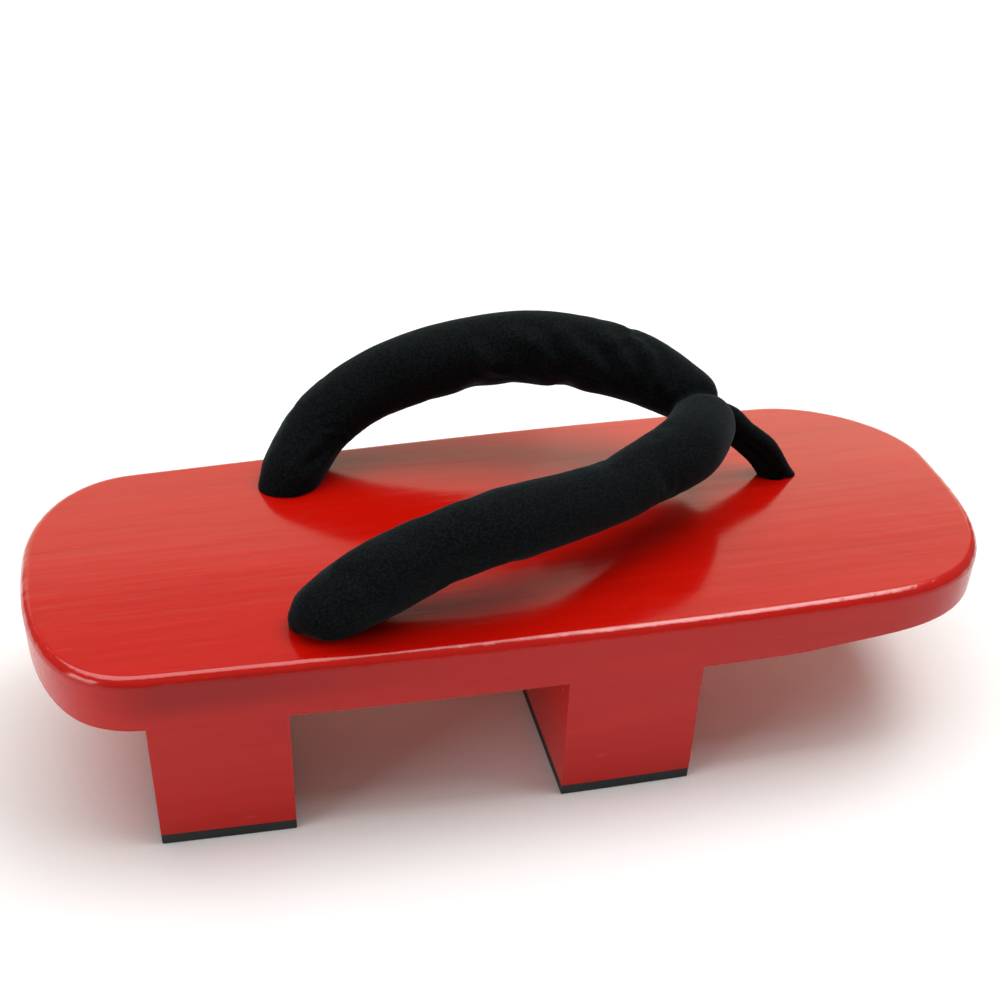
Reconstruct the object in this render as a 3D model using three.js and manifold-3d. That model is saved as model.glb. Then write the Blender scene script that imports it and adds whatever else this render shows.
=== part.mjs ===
// Geta sandal for the right foot: a lacquered wooden platform with two teeth, rubber treads under the
// teeth, a padded cloth strap folded to a V at the front, and a toe post that holds the fold.
// Millimetres. +X points to the toe, +Y to the inner side of the foot, +Z up. The origin is on the floor,
// under the middle of the sandal.

import * as THREE from "three";
import { mergeVertices } from "three/addons/utils/BufferGeometryUtils.js";
import Module from "manifold-3d";

const wasm = await Module();
wasm.setup();

// Platform
const length = 240;
const heelWidth = 83;
const waistWidth = 88.4;
const ballWidth = 92.2;
const toeWidth = 87.8;
const boardThickness = 14;
const toothHeight = 33;
const treadThickness = 3;
const edgeRoll = 2;

// Teeth, each by the distance of its rear face from the heel's tip and its thickness
const rearToothFromHeel = 26.4;
const rearToothThickness = 31.2;
const frontToothFromHeel = 122;
const frontToothThickness = 32.8;

// Ends of the outline: how long each rounded corner is, and how square
const heelTipOffset = 7;
const toeTipOffset = 12.5;
const heelCornerOuter = { length: 29, power: 2.5 };
const heelCornerInner = { length: 27, power: 2.2 };
const toeCornerOuter = { length: 45, power: 3.1 };
const toeCornerInner = { length: 36, power: 1.87 };

// Underside swept up at both ends
const toeSweepLength = 60;
const toeSweepRise = 2.8;
const heelSweepLength = 14;
const heelSweepRise = 3.4;

// Holes
const rearHoleFromHeel = 67.5;
const rearHoleSpacing = 61;
const rearHoleDiameter = 10;
const frontHoleFromToe = 46;
const frontHoleY = 10.2;
const frontHoleDiameter = 7;
const clearance = 0.3;

// Strap, and the place of its fold
const strapThickness = 17;
const foldFromFrontHole = 22.7;
const foldOuterY = 9.5;
const foldInnerY = 19.5;
const outerLegRise = 18.4;
const outerLegBow = 13;
const innerLegRise = 30;
const innerLegBow = 14;

// Toe post: a loop round the fold, and the folded band from the loop to the front hole
const loopCoreDiameter = 9.6;
const loopThickness = 2;
const loopWidth = 5.6;
const postWidth = 9.6;
const postThickness = 6.4;

// Knots that hold the cords under the board
const knotDiameter = 14;
const knotHeight = 7;

// Facets of the strap and of the toe post
const tubeSides = 16;
const legSections = 24;
const postSections = 12;

const undersideZ = treadThickness + toothHeight;
const topZ = undersideZ + boardThickness;
const heelX = -length / 2;
const toeX = length / 2;
const rearToothX = heelX + rearToothFromHeel;
const frontToothX = heelX + frontToothFromHeel;
const rearHoleX = heelX + rearHoleFromHeel;
const frontHoleX = toeX - frontHoleFromToe;
const foldX = frontHoleX - foldFromFrontHole;

const lacquer = { color: 0xc01808, roughness: 0.2, metalness: 0 };
const rubber = { color: 0x1a2224, roughness: 0.7, metalness: 0 };
const cloth = { color: 0x12181a, roughness: 0.9, metalness: 0 };

// Solids and meshes

function solidOf(geometry) {
  const bare = geometry.clone();
  bare.deleteAttribute("normal");
  bare.deleteAttribute("uv");
  const merged = mergeVertices(bare, 1e-4);
  const mesh = new wasm.Mesh({
    numProp: 3,
    vertProperties: Float32Array.from(merged.attributes.position.array),
    triVerts: Uint32Array.from(merged.index.array),
  });
  return new wasm.Manifold(mesh);
}

function geometryOf(solid) {
  const mesh = solid.getMesh();
  const geometry = new THREE.BufferGeometry();
  geometry.setAttribute("position", new THREE.BufferAttribute(Float32Array.from(mesh.vertProperties), 3));
  geometry.setIndex(new THREE.BufferAttribute(Uint32Array.from(mesh.triVerts), 1));
  geometry.computeVertexNormals();
  return geometry;
}

function joined(solids) {
  return solids.reduce((sum, solid) => sum.add(solid));
}

// A closed skin over rings of points, all with the same count, running counterclockwise seen from the
// end that the rings run towards. The first and last ring are closed by a fan.
function loft(rings) {
  const count = rings[0].length;
  const points = [];
  const index = [];
  for (const ring of rings) {
    points.push(...ring);
  }
  for (let r = 0; r + 1 < rings.length; r++) {
    for (let i = 0; i < count; i++) {
      const a = r * count + i;
      const b = r * count + ((i + 1) % count);
      index.push(a, b, b + count, a, b + count, a + count);
    }
  }
  const last = (rings.length - 1) * count;
  for (const [start, forward] of [[0, false], [last, true]]) {
    const middle = new THREE.Vector3();
    for (let i = 0; i < count; i++) {
      middle.addScaledVector(points[start + i], 1 / count);
    }
    points.push(middle);
    const hub = points.length - 1;
    for (let i = 0; i < count; i++) {
      const a = start + i;
      const b = start + ((i + 1) % count);
      index.push(hub, forward ? a : b, forward ? b : a);
    }
  }
  const geometry = new THREE.BufferGeometry().setFromPoints(points);
  geometry.setIndex(index);
  return geometry;
}

// A stuffed tube along a path. Each station has its place, its half width to the side and its half
// thickness upwards; both ends are domed by their own half width.
function tube(stations, side, sections, sides) {
  const centre = new THREE.CatmullRomCurve3(stations.map((s) => s.at), false, "centripetal");
  const halves = new THREE.CatmullRomCurve3(
    stations.map((s) => new THREE.Vector3(s.halfWidth, s.halfThickness, 0)), false, "centripetal");
  const rings = [];
  const addRing = (at, along, halfWidth, halfThickness) => {
    const across = side.clone().addScaledVector(along, -side.dot(along)).normalize();
    const up = along.clone().cross(across);
    const ring = [];
    for (let i = 0; i < sides; i++) {
      const turn = (2 * Math.PI * i) / sides;
      ring.push(at.clone()
        .addScaledVector(across, halfWidth * Math.cos(turn))
        .addScaledVector(up, halfThickness * Math.sin(turn)));
    }
    rings.push(ring);
  };
  const domeSteps = [80, 55, 30];
  const begin = centre.getTangent(0);
  const end = centre.getTangent(1);
  const first = stations[0];
  const final = stations[stations.length - 1];
  for (const degrees of domeSteps) {
    const a = THREE.MathUtils.degToRad(degrees);
    const at = first.at.clone().addScaledVector(begin, -Math.sin(a) * first.halfWidth);
    addRing(at, begin, first.halfWidth * Math.cos(a), first.halfThickness * Math.cos(a));
  }
  for (let k = 0; k <= sections; k++) {
    const t = k / sections;
    const half = halves.getPoint(t);
    addRing(centre.getPoint(t), centre.getTangent(t), half.x, half.y);
  }
  for (const degrees of [...domeSteps].reverse()) {
    const a = THREE.MathUtils.degToRad(degrees);
    const at = final.at.clone().addScaledVector(end, Math.sin(a) * final.halfWidth);
    addRing(at, end, final.halfWidth * Math.cos(a), final.halfThickness * Math.cos(a));
  }
  return solidOf(loft(rings));
}

function uprightCylinder(x, y, bottom, top, diameter, sides = 20) {
  const geometry = new THREE.CylinderGeometry(diameter / 2, diameter / 2, top - bottom, sides);
  geometry.rotateX(Math.PI / 2);
  geometry.translate(x, y, (bottom + top) / 2);
  return solidOf(geometry);
}

function block(low, high) {
  const geometry = new THREE.BoxGeometry(high[0] - low[0], high[1] - low[1], high[2] - low[2]);
  geometry.translate((low[0] + high[0]) / 2, (low[1] + high[1]) / 2, (low[2] + high[2]) / 2);
  return solidOf(geometry);
}

// Outline of the platform from above

const sideStations = [
  { fromHeel: 0.04, width: heelWidth },
  { fromHeel: 0.3, width: waistWidth },
  { fromHeel: 0.59, width: ballWidth },
  { fromHeel: 0.96, width: toeWidth },
];

// Half of the width at x: the cubic through the four named widths
function halfWidthAt(x) {
  const share = (x - heelX) / length;
  let sum = 0;
  for (const one of sideStations) {
    let weight = 1;
    for (const other of sideStations) {
      if (other !== one) {
        weight *= (share - other.fromHeel) / (one.fromHeel - other.fromHeel);
      }
    }
    sum += (weight * one.width) / 2;
  }
  return sum;
}

// One side from the heel's tip to the toe's tip. side is -1 for the outer side and 1 for the inner.
function sideLine(side, heelCorner, toeCorner, cornerSteps, sideSteps) {
  const line = [];
  const place = (x, squeeze, tip) => {
    const y = tip + (side * halfWidthAt(x) - tip) * squeeze;
    line.push(new THREE.Vector2(x, y));
  };
  for (let i = 0; i < cornerSteps; i++) {
    const a = (Math.PI / 2) * (1 - i / cornerSteps);
    const reach = Math.sin(a) ** (2 / heelCorner.power);
    const squeeze = i === 0 ? 0 : Math.cos(a) ** (2 / heelCorner.power);
    place(heelX + heelCorner.length * (1 - reach), squeeze, heelTipOffset);
  }
  const from = heelX + heelCorner.length;
  const to = toeX - toeCorner.length;
  for (let i = 0; i <= sideSteps; i++) {
    place(from + ((to - from) * i) / sideSteps, 1, 0);
  }
  for (let i = 1; i < cornerSteps; i++) {
    const a = ((Math.PI / 2) * i) / cornerSteps;
    const reach = Math.sin(a) ** (2 / toeCorner.power);
    place(to + toeCorner.length * reach, Math.cos(a) ** (2 / toeCorner.power), toeTipOffset);
  }
  place(toeX, 0, toeTipOffset);
  return line;
}

function outline(cornerSteps = 11, sideSteps = 9) {
  const outer = sideLine(-1, heelCornerOuter, toeCornerOuter, cornerSteps, sideSteps);
  const inner = sideLine(1, heelCornerInner, toeCornerInner, cornerSteps, sideSteps);
  return [...outer, ...inner.slice(1, -1).reverse()];
}

function inset(line, distance) {
  return line.map((point, i) => {
    const before = line[(i + line.length - 1) % line.length];
    const after = line[(i + 1) % line.length];
    const run = after.clone().sub(before).normalize();
    return new THREE.Vector2(point.x - run.y * distance, point.y + run.x * distance);
  });
}

// The outline as an upright prism, with its top edge rolled over by rollRadius
function prism(line, bottom, top, rollRadius) {
  const ringAt = (z, distance) => inset(line, distance).map((p) => new THREE.Vector3(p.x, p.y, z));
  const rings = [ringAt(bottom, 0)];
  if (rollRadius > 0) {
    for (const degrees of [0, 22.5, 45, 67.5, 90]) {
      const a = THREE.MathUtils.degToRad(degrees);
      rings.push(ringAt(top - rollRadius * (1 - Math.sin(a)), rollRadius * (1 - Math.cos(a))));
    }
  } else {
    rings.push(ringAt(top, 0));
  }
  return solidOf(loft(rings));
}

// Height of the underside ahead of the heel's sweep
function undersideAt(x) {
  const t = Math.max(0, (x - (toeX - toeSweepLength)) / toeSweepLength);
  return undersideZ + toeSweepRise * (1 - (1 - t) ** 2);
}

// The block seen from the side, heel to toe: swept underside and the two teeth
function sideProfile() {
  const outside = 10;
  const shape = new THREE.Shape();
  shape.moveTo(heelX - outside, topZ + outside);
  shape.lineTo(heelX - outside, undersideZ + heelSweepRise);
  shape.lineTo(heelX, undersideZ + heelSweepRise);
  const heelSteps = 4;
  for (let i = 1; i <= heelSteps; i++) {
    const t = i / heelSteps;
    shape.lineTo(heelX + heelSweepLength * t, undersideZ + heelSweepRise * (1 - t) ** 2);
  }
  for (const [x, thickness] of [[rearToothX, rearToothThickness], [frontToothX, frontToothThickness]]) {
    shape.lineTo(x, undersideZ);
    shape.lineTo(x, treadThickness);
    shape.lineTo(x + thickness, treadThickness);
    shape.lineTo(x + thickness, undersideZ);
  }
  const toeSteps = 8;
  for (let i = 0; i <= toeSteps; i++) {
    const t = i / toeSteps;
    const x = toeX - toeSweepLength * (1 - t);
    shape.lineTo(x, undersideAt(x));
  }
  shape.lineTo(toeX + outside, undersideZ + toeSweepRise);
  shape.lineTo(toeX + outside, topZ + outside);
  shape.closePath();
  const depth = 2 * ballWidth;
  const geometry = new THREE.ExtrudeGeometry(shape, { depth, bevelEnabled: false, steps: 1 });
  geometry.rotateX(Math.PI / 2);
  geometry.translate(0, depth / 2, 0);
  return solidOf(geometry);
}

const holes = [
  { x: rearHoleX, y: -rearHoleSpacing / 2, diameter: rearHoleDiameter },
  { x: rearHoleX, y: rearHoleSpacing / 2, diameter: rearHoleDiameter },
  { x: frontHoleX, y: frontHoleY, diameter: frontHoleDiameter },
];

function platformSolid() {
  let solid = prism(outline(), 0, topZ, edgeRoll).intersect(sideProfile());
  for (const hole of holes) {
    solid = solid.subtract(uprightCylinder(hole.x, hole.y, treadThickness, topZ + 1, hole.diameter));
  }
  return solid;
}

// A tread has the outline of its tooth's end
function treadSolid(x, thickness) {
  const slab = block([x, -ballWidth, 0], [x + thickness, ballWidth, treadThickness]);
  return prism(outline(), -1, treadThickness + 1, 0).intersect(slab);
}

// Strap

// How a leg runs from its rear hole to the fold. along is a share of the way forward, bow a share of the
// leg's bow away from the straight line, rise a share of its height over the board, girth a share of the
// strap's thickness.
const outerLegShape = [
  { along: 0.0, bow: 0.0, rise: 0.19, girth: 0.9 },
  { along: 0.12, bow: 0.39, rise: 0.6, girth: 1.05 },
  { along: 0.26, bow: 0.61, rise: 0.85, girth: 1.0 },
  { along: 0.4, bow: 0.89, rise: 0.99, girth: 1.03 },
  { along: 0.54, bow: 1.0, rise: 1.0, girth: 0.94 },
  { along: 0.67, bow: 0.97, rise: 0.96, girth: 0.92 },
  { along: 0.8, bow: 0.81, rise: 0.98, girth: 0.98 },
  { along: 0.92, bow: 0.64, rise: 1.03, girth: 1.06 },
  { along: 1.0, bow: 0.0, rise: 0.97, girth: 1.03 },
];
const innerLegShape = [
  { along: 0.0, bow: 0.0, rise: 0.1, girth: 0.97 },
  { along: 0.08, bow: 0.52, rise: 0.4, girth: 1.0 },
  { along: 0.2, bow: 0.83, rise: 0.65, girth: 1.02 },
  { along: 0.335, bow: 0.98, rise: 0.81, girth: 1.1 },
  { along: 0.475, bow: 1.0, rise: 0.92, girth: 1.13 },
  { along: 0.61, bow: 0.9, rise: 0.99, girth: 1.14 },
  { along: 0.75, bow: 0.69, rise: 0.97, girth: 1.14 },
  { along: 0.88, bow: 0.38, rise: 0.89, girth: 1.12 },
  { along: 1.0, bow: 0.0, rise: 0.7, girth: 0.98 },
];

function legStations(rows, side, foldY, bow, rise) {
  const holeY = (side * rearHoleSpacing) / 2;
  return rows.map((row) => ({
    at: new THREE.Vector3(
      THREE.MathUtils.lerp(rearHoleX, foldX, row.along),
      THREE.MathUtils.lerp(holeY, foldY, row.along) + side * bow * row.bow,
      topZ + rise * row.rise),
    halfWidth: (strapThickness * row.girth) / 2,
    halfThickness: (strapThickness * row.girth) / 2,
  }));
}

const outerLeg = legStations(outerLegShape, -1, foldOuterY, outerLegBow, outerLegRise);
const innerLeg = legStations(innerLegShape, 1, foldInnerY, innerLegBow, innerLegRise);
const outerFold = outerLeg[outerLeg.length - 1].at;
const innerFold = innerLeg[innerLeg.length - 1].at;
const foldCentre = outerFold.clone().lerp(innerFold, 0.5);
const foldAxis = innerFold.clone().sub(outerFold).normalize();
const sideways = new THREE.Vector3(0, 1, 0);

// The cord of a strap end or of the toe post: down through its hole, with a knot under the board
function knottedCord(hole, top) {
  const below = undersideAt(hole.x) - clearance;
  const cord = hole.diameter - 2 * clearance;
  const profile = [new THREE.Vector2(0, -knotHeight)];
  for (const degrees of [-75, -50, -25, 0, 25, 50]) {
    const a = THREE.MathUtils.degToRad(degrees);
    profile.push(new THREE.Vector2((knotDiameter / 2) * Math.cos(a), (knotHeight / 2) * (Math.sin(a) - 1)));
  }
  profile.push(new THREE.Vector2((knotDiameter / 2) * 0.45, 0), new THREE.Vector2(0, 0));
  const knot = new THREE.LatheGeometry(profile, 20);
  knot.rotateX(Math.PI / 2);
  knot.translate(hole.x, hole.y, below);
  return solidOf(knot).add(uprightCylinder(hole.x, hole.y, below - knotHeight / 2, top, cord));
}

// The loop round the fold, wider by grow on every side
function loopSolid(grow) {
  const inner = loopCoreDiameter / 2 - grow;
  const outer = loopCoreDiameter / 2 + loopThickness + grow;
  const half = loopWidth / 2 + grow;
  const profile = [
    new THREE.Vector2(inner, -half),
    new THREE.Vector2(outer, -half),
    new THREE.Vector2(outer, half),
    new THREE.Vector2(inner, half),
    new THREE.Vector2(inner, -half),
  ];
  const ring = new THREE.LatheGeometry(profile, 24);
  ring.applyQuaternion(new THREE.Quaternion().setFromUnitVectors(new THREE.Vector3(0, 1, 0), foldAxis));
  ring.translate(foldCentre.x, foldCentre.y, foldCentre.z);
  return solidOf(ring);
}

function strapSolid() {
  const aboveBoard = block(
    [heelX, -length, topZ + clearance],
    [toeX, length, topZ + length]);
  const legs = tube(outerLeg, sideways, legSections, tubeSides)
    .add(tube(innerLeg, sideways, legSections, tubeSides))
    .intersect(aboveBoard)
    .subtract(loopSolid(clearance));
  return joined([
    legs,
    knottedCord(holes[0], outerLeg[0].at.z),
    knottedCord(holes[1], innerLeg[0].at.z),
  ]);
}

// Toe post

// How the band runs from the loop to the front hole. lift is a share of the run, width and thickness are
// shares of the band's own; its flat sides face the toes.
const postShape = [
  { along: 0.0, lift: 0.0, width: 1.1, thickness: 0.8 },
  { along: 0.25, lift: 0.07, width: 1.15, thickness: 0.95 },
  { along: 0.5, lift: 0.07, width: 1.0, thickness: 1.0 },
  { along: 0.75, lift: 0.11, width: 0.9, thickness: 1.08 },
  { along: 0.92, lift: 0.07, width: 0.95, thickness: 1.15 },
  { along: 1.0, lift: 0.0, width: 1.05, thickness: 1.25 },
];

function postSolid(grow) {
  const from = foldCentre.clone().add(new THREE.Vector3(loopCoreDiameter / 2, 0, -loopCoreDiameter / 4));
  const to = new THREE.Vector3(frontHoleX, frontHoleY, topZ);
  const run = from.distanceTo(to);
  const stations = postShape.map((row) => ({
    at: from.clone().lerp(to, row.along).add(new THREE.Vector3(0, 0, run * row.lift)),
    halfWidth: (postThickness * row.thickness) / 2 + grow,
    halfThickness: (postWidth * row.width) / 2 + grow,
  }));
  return tube(stations, sideways, postSections, tubeSides);
}

function toePostSolid() {
  const aboveBoard = block(
    [0, -length, topZ + clearance],
    [toeX, length, topZ + length]);
  const cord = knottedCord(holes[2], topZ + 3 * clearance);
  return joined([loopSolid(0), postSolid(0).intersect(aboveBoard), cord]);
}

// Assembly

const sandal = new THREE.Group();

function addPart(name, solid, look) {
  const mesh = new THREE.Mesh(geometryOf(solid), new THREE.MeshStandardMaterial(look));
  mesh.name = name;
  sandal.add(mesh);
}

addPart("platform", platformSolid(), lacquer);
addPart("rear_tread", treadSolid(rearToothX, rearToothThickness), rubber);
addPart("front_tread", treadSolid(frontToothX, frontToothThickness), rubber);
addPart("strap", strapSolid().subtract(postSolid(clearance)), cloth);
addPart("toe_post", toePostSolid(), cloth);

// The inner leg of the strap stands out past the board, so the middle of the sandal is found from its box
const box = new THREE.Box3().setFromObject(sandal);
sandal.position.y = -(box.min.y + box.max.y) / 2;
sandal.updateMatrixWorld(true);

export default sandal;
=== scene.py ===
# Geta sandal for the right foot: a red lacquered platform on two teeth, rubber treads under the teeth, a
# padded crepe strap folded to a V, the toe post that holds the fold, and the knots under the board.
# Metres. +X points to the toe, +Y to the inner side of the foot, +Z up.
import math

import bmesh
import bpy
import numpy as np
from mathutils import Matrix, Vector


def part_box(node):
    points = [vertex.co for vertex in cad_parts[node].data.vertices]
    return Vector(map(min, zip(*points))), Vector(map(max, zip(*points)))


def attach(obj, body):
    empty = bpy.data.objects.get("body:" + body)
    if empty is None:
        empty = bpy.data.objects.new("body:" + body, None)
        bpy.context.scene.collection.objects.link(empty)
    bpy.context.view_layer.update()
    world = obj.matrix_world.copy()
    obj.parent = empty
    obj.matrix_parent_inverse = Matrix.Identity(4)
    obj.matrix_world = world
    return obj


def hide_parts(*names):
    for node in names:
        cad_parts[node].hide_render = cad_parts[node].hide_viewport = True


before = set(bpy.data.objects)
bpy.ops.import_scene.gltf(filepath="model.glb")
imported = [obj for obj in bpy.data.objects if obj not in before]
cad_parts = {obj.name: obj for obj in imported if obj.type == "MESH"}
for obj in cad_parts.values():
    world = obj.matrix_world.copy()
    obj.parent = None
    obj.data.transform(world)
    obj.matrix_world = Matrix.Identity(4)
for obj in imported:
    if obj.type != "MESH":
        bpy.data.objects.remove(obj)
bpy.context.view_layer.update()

MM = 0.001
TINY = 1e-9

# Platform: its reach comes from the frame
BOARD_LOW, BOARD_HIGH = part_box("platform")
HEEL_X = BOARD_LOW.x
TOE_X = BOARD_HIGH.x
LENGTH = TOE_X - HEEL_X
MIDDLE_Y = (BOARD_LOW.y + BOARD_HIGH.y) / 2
TOP_Z = BOARD_HIGH.z
TREAD_TOP = BOARD_LOW.z
BOARD_THICKNESS = 14 * MM
UNDERSIDE_Z = TOP_Z - BOARD_THICKNESS
REAR_TOOTH = [corner.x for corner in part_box("rear_tread")]
FRONT_TOOTH = [corner.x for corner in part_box("front_tread")]

# Edges: the rolled top edge of the platform, and the others, which are eased where two faces meet at more
# than the angle. Angles are in degrees. A face is level where its normal rises by more than LEVEL_NORMAL.
EDGE_ROLL = 2.5 * MM
ROLL_SEGMENTS = 8
LEVEL_NORMAL = 0.9
EASED_EDGE = 0.6 * MM
EASED_SEGMENTS = 3
EASED_TREAD_EDGE = EASED_EDGE / 2
EASED_TREAD_SEGMENTS = 2
EASED_ANGLE = 40
HARD_SHADING_ANGLE = 35
SOFT_SHADING_ANGLE = 60
FACE_WEIGHT = 60

# Outline of the platform: widths at shares of the length, and the rounded corner at each end of a side
SIDE_STATIONS = [
    {"from_heel": 0.04, "width": 83.0 * MM},
    {"from_heel": 0.30, "width": 88.4 * MM},
    {"from_heel": 0.59, "width": 92.2 * MM},
    {"from_heel": 0.96, "width": 87.8 * MM},
]
OUTER_SIDE = {
    "side": -1,
    "heel_length": 29 * MM,
    "heel_power": 2.5,
    "toe_length": 45 * MM,
    "toe_power": 3.1,
}
INNER_SIDE = {
    "side": 1,
    "heel_length": 27 * MM,
    "heel_power": 2.2,
    "toe_length": 36 * MM,
    "toe_power": 1.87,
}
HEEL_TIP_OFFSET = 7 * MM
TOE_TIP_OFFSET = 12.5 * MM
CORNER_STEPS = 40
SIDE_STEPS = 44

# Underside swept up at both ends
TOE_SWEEP_LENGTH = 60 * MM
TOE_SWEEP_RISE = 2.8 * MM
HEEL_SWEEP_LENGTH = 14 * MM
HEEL_SWEEP_RISE = 3.4 * MM
SWEPT_STEPS = 60
LEVEL_STEPS = 2
PAST_END = 10 * MM

# Holes
REAR_HOLE_X = -52.5 * MM
REAR_HOLE_SPACING = 61 * MM
FRONT_HOLE_X = 74 * MM
FRONT_HOLE_Y = 10.2 * MM
HOLES = [
    {"x": REAR_HOLE_X, "y": -REAR_HOLE_SPACING / 2, "diameter": 10 * MM},
    {"x": REAR_HOLE_X, "y": REAR_HOLE_SPACING / 2, "diameter": 10 * MM},
    {"x": FRONT_HOLE_X, "y": FRONT_HOLE_Y, "diameter": 7 * MM},
]
HOLE_SIDES = 48

# Strap. How a leg runs from its rear hole to the fold: along is a share of the way forward, bow a share of
# the leg's bow away from the straight line, rise a share of its height over the board, girth a share of the
# strap's thickness.
STRAP_THICKNESS = 17 * MM
FOLD_X = 51.3 * MM
STRAP_LIFT = 0.3 * MM
OUTER_LEG = {
    "side": -1,
    "fold_y": 9.5 * MM,
    "bow": 13 * MM,
    "rise": 18.4 * MM,
    "rows": [
        {"along": 0.00, "bow": 0.00, "rise": 0.19, "girth": 0.90},
        {"along": 0.12, "bow": 0.39, "rise": 0.60, "girth": 1.05},
        {"along": 0.26, "bow": 0.61, "rise": 0.85, "girth": 1.00},
        {"along": 0.40, "bow": 0.89, "rise": 0.99, "girth": 1.03},
        {"along": 0.54, "bow": 1.00, "rise": 1.00, "girth": 0.94},
        {"along": 0.67, "bow": 0.97, "rise": 0.96, "girth": 0.92},
        {"along": 0.80, "bow": 0.81, "rise": 0.98, "girth": 0.98},
        {"along": 0.92, "bow": 0.64, "rise": 1.03, "girth": 1.06},
        {"along": 1.00, "bow": 0.00, "rise": 0.97, "girth": 1.03},
    ],
}
INNER_LEG = {
    "side": 1,
    "fold_y": 19.5 * MM,
    "bow": 14 * MM,
    "rise": 30 * MM,
    "rows": [
        {"along": 0.000, "bow": 0.00, "rise": 0.10, "girth": 0.97},
        {"along": 0.080, "bow": 0.52, "rise": 0.40, "girth": 1.00},
        {"along": 0.200, "bow": 0.83, "rise": 0.65, "girth": 1.02},
        {"along": 0.335, "bow": 0.98, "rise": 0.81, "girth": 1.10},
        {"along": 0.475, "bow": 1.00, "rise": 0.92, "girth": 1.13},
        {"along": 0.610, "bow": 0.90, "rise": 0.99, "girth": 1.14},
        {"along": 0.750, "bow": 0.69, "rise": 0.97, "girth": 1.14},
        {"along": 0.880, "bow": 0.38, "rise": 0.89, "girth": 1.09},
        {"along": 1.000, "bow": 0.00, "rise": 0.69, "girth": 0.89},
    ],
}
LEG_COLUMNS = 12
LEG_SIDES = 32
DOME_DEGREES = (86, 74, 62, 50, 38, 26, 14)
STRAP_VOXEL = 1.5 * MM
STRAP_SMOOTHING = 6
SMOOTHING_FACTOR = 0.5

# Swelling of the strap's filling. The skin is held near the board and near the fold, and free between.
SWELL_CLOTH = {
    "quality": 6,
    "mass": 0.3,
    "tension_stiffness": 20,
    "compression_stiffness": 20,
    "shear_stiffness": 8,
    "bending_stiffness": 0.4,
    "use_pressure": True,
    "uniform_pressure_force": 4.0,
    "shrink_min": -0.01,
}
SWELL_FRAMES = 20
SWELL_CAP = 1.2 * MM
HELD_HEIGHT = 10 * MM
HELD_FROM_FOLD = 16 * MM
HELD_FADE = 20 * MM

# Creases of the strap. A crease runs over its leg through the places of its path: share of the leg's length,
# and degrees round it (0 faces the outer side of the foot, 90 is up). A negative depth is a raised fold. On
# both sides of a trough the padding stands up in a shoulder, a share of the depth. The first five are the
# slanting folds at the front of the inner leg, then come the notches under it, the creases at its root, the
# wide hollows and the seams along the underside.
CREASE_SHOULDER = 0.45
NOTCH_SHOULDER = 0.1
SHOULDER_WIDTHS_AWAY = 2.0
CREASE_END_FADE = 0.04
CREASES = [
    {
        "leg": "inner",
        "path": [(0.488, 58), (0.512, 27), (0.529, 13), (0.545, -5)],
        "width": 1.9 * MM,
        "depth": -0.90 * MM,
    },
    {
        "leg": "inner",
        "path": [(0.590, 52), (0.637, 34), (0.667, 13), (0.695, -8)],
        "width": 1.9 * MM,
        "depth": -1.10 * MM,
    },
    {
        "leg": "inner",
        "path": [(0.688, 54), (0.717, 33), (0.787, 7), (0.815, -10)],
        "width": 1.9 * MM,
        "depth": -0.90 * MM,
    },
    {
        "leg": "inner",
        "path": [(0.782, 58), (0.808, 44), (0.846, 18), (0.870, -5)],
        "width": 1.7 * MM,
        "depth": -1.15 * MM,
    },
    {
        "leg": "inner",
        "path": [(0.850, 60), (0.879, 39), (0.908, 12), (0.921, -5)],
        "width": 1.7 * MM,
        "depth": -1.15 * MM,
    },
    {
        "leg": "inner",
        "path": [(0.485, -10), (0.480, -80)],
        "width": 3.4 * MM,
        "depth": 0.70 * MM,
        "shoulder": NOTCH_SHOULDER,
    },
    {
        "leg": "inner",
        "path": [(0.715, -12), (0.712, -75)],
        "width": 3.0 * MM,
        "depth": 1.40 * MM,
        "shoulder": NOTCH_SHOULDER,
    },
    {
        "leg": "inner",
        "path": [(0.010, 5), (0.050, -7), (0.100, -12)],
        "width": 1.3 * MM,
        "depth": 0.80 * MM,
    },
    {
        "leg": "inner",
        "path": [(0.085, 5), (0.125, -15), (0.130, -50)],
        "width": 1.0 * MM,
        "depth": 0.40 * MM,
    },
    {
        "leg": "inner",
        "path": [(0.110, 15), (0.155, -12), (0.160, -50)],
        "width": 1.0 * MM,
        "depth": 0.35 * MM,
    },
    {"leg": "inner", "path": [(0.250, 80), (0.300, 10)], "width": 3.2 * MM, "depth": 0.30 * MM},
    {"leg": "outer", "path": [(0.345, 130), (0.355, 70)], "width": 2.6 * MM, "depth": 0.25 * MM},
    {"leg": "outer", "path": [(0.170, 110), (0.230, 20)], "width": 3.0 * MM, "depth": 0.35 * MM},
    {"leg": "outer", "path": [(0.620, 120), (0.660, 30)], "width": 3.0 * MM, "depth": 0.20 * MM},
    {"leg": "outer", "path": [(0.020, -95), (0.980, -95)], "width": 1.0 * MM, "depth": 0.45 * MM},
    {"leg": "inner", "path": [(0.020, -95), (0.980, -95)], "width": 1.0 * MM, "depth": 0.45 * MM},
]

# Valley between the two legs at the fold. It starts at a share of the leg's length and reaches its full
# depth over a further share. Its width is a share of the leg's radius.
VALLEY_START = 0.78
VALLEY_FADE = 0.1
VALLEY_WIDTH = 0.22
VALLEY_DEPTH = 1.6 * MM

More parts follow.
